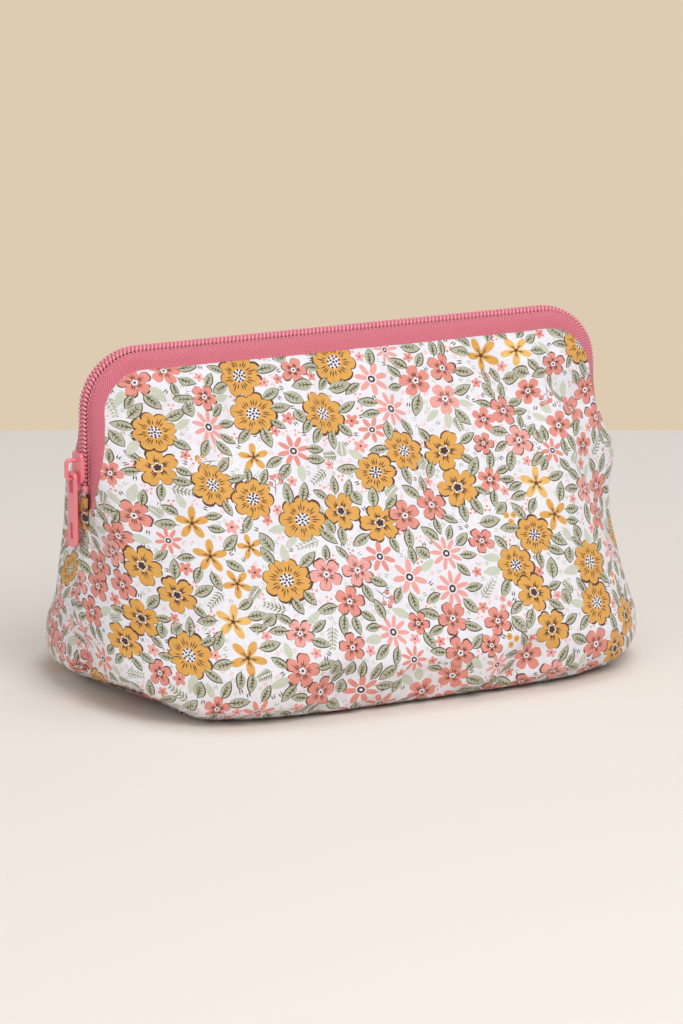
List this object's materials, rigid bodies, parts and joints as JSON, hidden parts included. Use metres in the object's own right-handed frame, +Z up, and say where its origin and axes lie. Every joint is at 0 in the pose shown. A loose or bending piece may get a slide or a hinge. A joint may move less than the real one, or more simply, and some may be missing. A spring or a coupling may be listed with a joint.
{
  "type": "zip-top make-up bag",
  "caption": "Padded make-up bag in ditsy floral cotton, wide rounded base and narrow top, closed by a pink coil zip that runs over the top with a small enamelled puller.",
  "frame": {"origin": "centre of the underside, on the surface the bag stands on", "axes": "+X along the zip away from the slider, -Y the front, +Z up"},
  "size_m": [0.2135, 0.14, 0.124],
  "materials": {
    "printed_cotton": "matte",
    "wadding": "matte",
    "lining": "satin",
    "zip_tape": "matte",
    "zip_coil": "satin",
    "enamelled_metal": "gloss"
  },
  "bodies": {
    "shell": {"base_panel": "printed_cotton", "front_panel_lower": "printed_cotton", "back_panel": "printed_cotton", "zip_end_tab_left": "printed_cotton", "zip_end_tab_right": "printed_cotton", "base_wadding": "wadding", "front_wadding_lower": "wadding", "back_wadding": "wadding", "base_lining": "lining", "front_lining_lower": "lining", "back_lining": "lining", "zip_tape_back": "zip_tape", "zip_coil_back": "zip_coil", "zip_stop_back": "enamelled_metal", "zip_stop_end": "enamelled_metal"},
    "front_flap": {"front_panel_upper": "printed_cotton", "front_wadding_upper": "wadding", "front_lining_upper": "lining", "zip_tape_front": "zip_tape", "zip_coil_front": "zip_coil", "zip_stop_front": "enamelled_metal"},
    "slider": {"slider_body": "enamelled_metal", "slider_bail": "enamelled_metal"},
    "puller": {"puller": "enamelled_metal"}
  },
  "joints": [
    {"name": "front_opens", "type": "hinge", "parent": "shell", "child": "front_flap", "pos_m": [0, -0.0384, 0.07], "axis": [1, 0, 0], "range_deg": [0, 40]},
    {"name": "slider_runs", "type": "slide", "parent": "shell", "child": "slider", "axis": [0, 0, 1], "range_m": [0, 0.014]},
    {"name": "puller_swings", "type": "hinge", "parent": "slider", "child": "puller", "pos_m": [-0.1056, 0, 0.0805], "axis": [0, 1, 0], "range_deg": [0, 170]}
  ]
}
